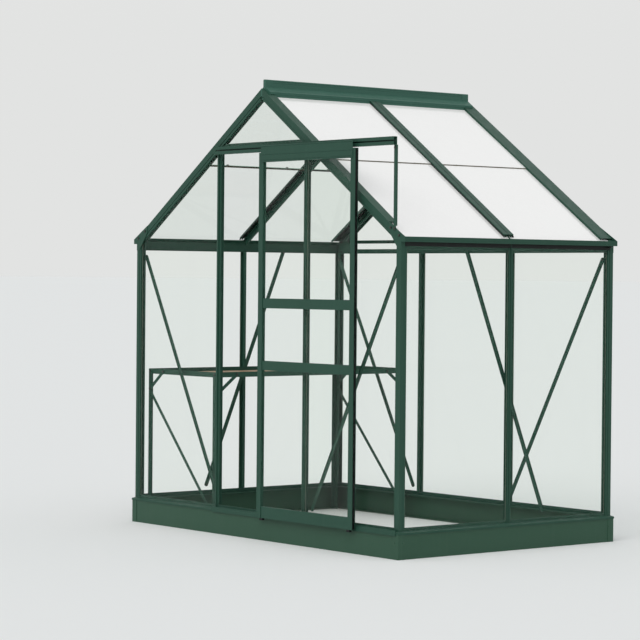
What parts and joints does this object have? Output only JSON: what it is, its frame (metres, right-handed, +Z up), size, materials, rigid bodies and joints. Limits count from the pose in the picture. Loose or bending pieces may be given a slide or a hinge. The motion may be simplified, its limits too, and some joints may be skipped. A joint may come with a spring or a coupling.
{
  "type": "glass greenhouse",
  "caption": "Small gable-roofed glass greenhouse with a green metal frame, sliding gable door, steel plinth and inner staging.",
  "frame": {"origin": "centre of the frame's footprint, on the ground under the plinth", "axes": "+Z up, the ridge along Y, the door gable faces -Y, the door slides open towards +X"},
  "size_m": [1.978, 1.3125, 2.062],
  "materials": {
    "frame_metal": "satin green powder coat on extruded aluminium",
    "plinth_steel": "satin green powder coat on folded galvanised steel",
    "clear_glass": "clear horticultural glass, 3 mm",
    "black_nylon": "moulded black nylon",
    "staging_metal": "satin green powder coat on aluminium angle",
    "slat_metal": "mill-finish aluminium slats"
  },
  "bodies": {
    "frame": {"back_bars": "frame_metal", "back_tie": "frame_metal", "corner_posts_back": "frame_metal", "corner_posts_front": "frame_metal", "door_guide": "frame_metal", "door_jambs": "frame_metal", "door_track": "frame_metal", "eaves_left": "frame_metal", "eaves_plates": "frame_metal", "eaves_right": "frame_metal", "gable_braces": "frame_metal", "gable_header": "frame_metal", "glass_back": "clear_glass", "glass_front": "clear_glass", "glass_left": "clear_glass", "glass_right": "clear_glass", "plinth_back": "plinth_steel", "plinth_corners": "plinth_steel", "plinth_front": "plinth_steel", "plinth_sides": "plinth_steel", "rafters_back": "frame_metal", "rafters_front": "frame_metal", "ridge": "frame_metal", "roof_bars": "frame_metal", "roof_glass_left": "clear_glass", "roof_glass_right": "clear_glass", "side_bars": "frame_metal", "side_braces": "frame_metal", "sill_back": "frame_metal", "sill_front": "frame_metal", "sill_sides": "frame_metal", "staging_braces": "staging_metal", "staging_frame": "staging_metal", "staging_knees": "staging_metal", "staging_legs": "staging_metal", "staging_slats": "slat_metal", "track_support": "frame_metal"},
    "door": {"door_foot_rail": "frame_metal", "door_glass": "clear_glass", "door_header": "frame_metal", "door_rail_lower": "frame_metal", "door_rail_upper": "frame_metal", "door_rollers": "black_nylon", "door_shoes": "black_nylon", "door_stiles": "frame_metal"}
  },
  "joints": [
    {"name": "door_slide", "type": "slide", "parent": "frame", "child": "door", "axis": [1, 0, 0], "range_m": [-0.37, 0.225]}
  ]
}
